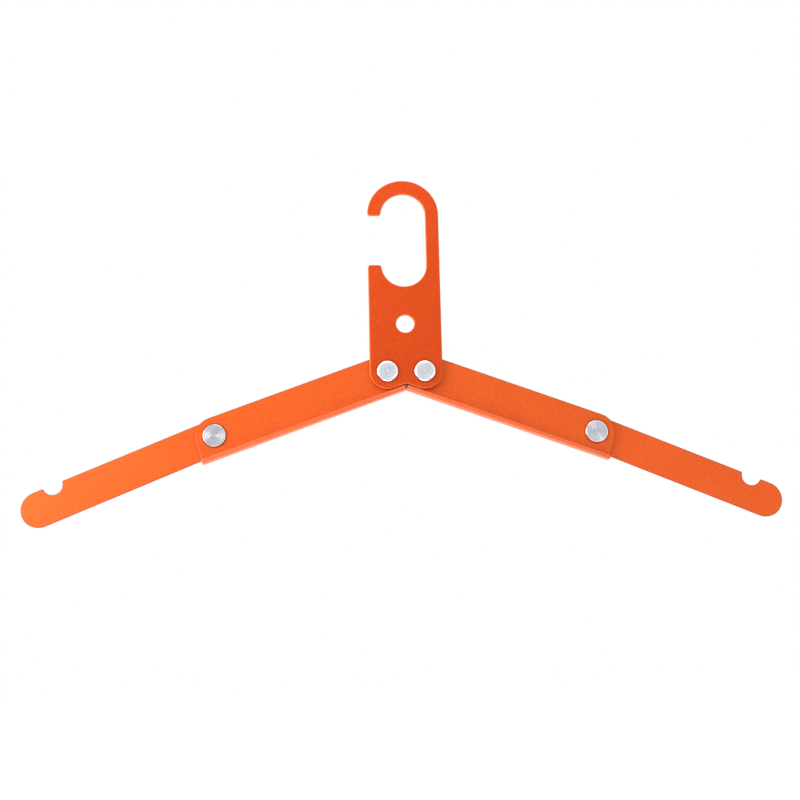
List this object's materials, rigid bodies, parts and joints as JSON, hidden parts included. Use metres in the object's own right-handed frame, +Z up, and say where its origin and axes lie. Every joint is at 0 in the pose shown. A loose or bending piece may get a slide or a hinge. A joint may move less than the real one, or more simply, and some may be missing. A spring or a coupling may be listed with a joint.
{
  "type": "folding travel hanger",
  "caption": "Flat metal clothes hanger that folds up for travel: a slotted hook plate carries two jointed arms with a strap notch near each round tip.",
  "frame": {"origin": "where the rail touches the hook: the top of the slot, in the middle of the plate's thickness", "axes": "+Z up as the hanger hangs open, +X along the span to the right seen from the front, +Y through the thickness to the rear, so that the front faces -Y"},
  "size_m": [0.361, 0.0093, 0.1683],
  "materials": {
    "plate": "bead-blasted and anodised orange, satin",
    "inner_arm": "bead-blasted and anodised orange, satin",
    "outer_arm": "bead-blasted and anodised orange, satin",
    "rivet": "bright nickel, turned faces",
    "washer": "natural"
  },
  "bodies": {
    "hook": {"hook_plate": "plate", "left_hook_rivet_post": "rivet", "left_hook_rivet_cap": "rivet", "left_hook_washer": "washer", "right_hook_rivet_post": "rivet", "right_hook_rivet_cap": "rivet", "right_hook_washer": "washer"},
    "left_inner": {"left_inner_arm": "inner_arm", "left_elbow_rivet_post": "rivet", "left_elbow_rivet_cap": "rivet", "left_elbow_washer": "washer"},
    "right_inner": {"right_inner_arm": "inner_arm", "right_elbow_rivet_post": "rivet", "right_elbow_rivet_cap": "rivet", "right_elbow_washer": "washer"},
    "left_outer": {"left_outer_arm": "outer_arm"},
    "right_outer": {"right_outer_arm": "outer_arm"}
  },
  "joints": [
    {"name": "left_inner_fold", "type": "hinge", "parent": "hook", "child": "left_inner", "pos_m": [-0.009, 0, -0.0895], "axis": [0, 1, 0], "range_deg": [0, 110]},
    {"name": "right_inner_fold", "type": "hinge", "parent": "hook", "child": "right_inner", "pos_m": [0.009, 0, -0.0895], "axis": [0, -1, 0], "range_deg": [0, 110]},
    {"name": "left_outer_fold", "type": "hinge", "parent": "left_inner", "child": "left_outer", "pos_m": [-0.09122, 0, -0.11943], "axis": [0, 1, 0], "range_deg": [0, 182.5]},
    {"name": "right_outer_fold", "type": "hinge", "parent": "right_inner", "child": "right_outer", "pos_m": [0.09122, 0, -0.11943], "axis": [0, -1, 0], "range_deg": [0, 182.5]}
  ]
}
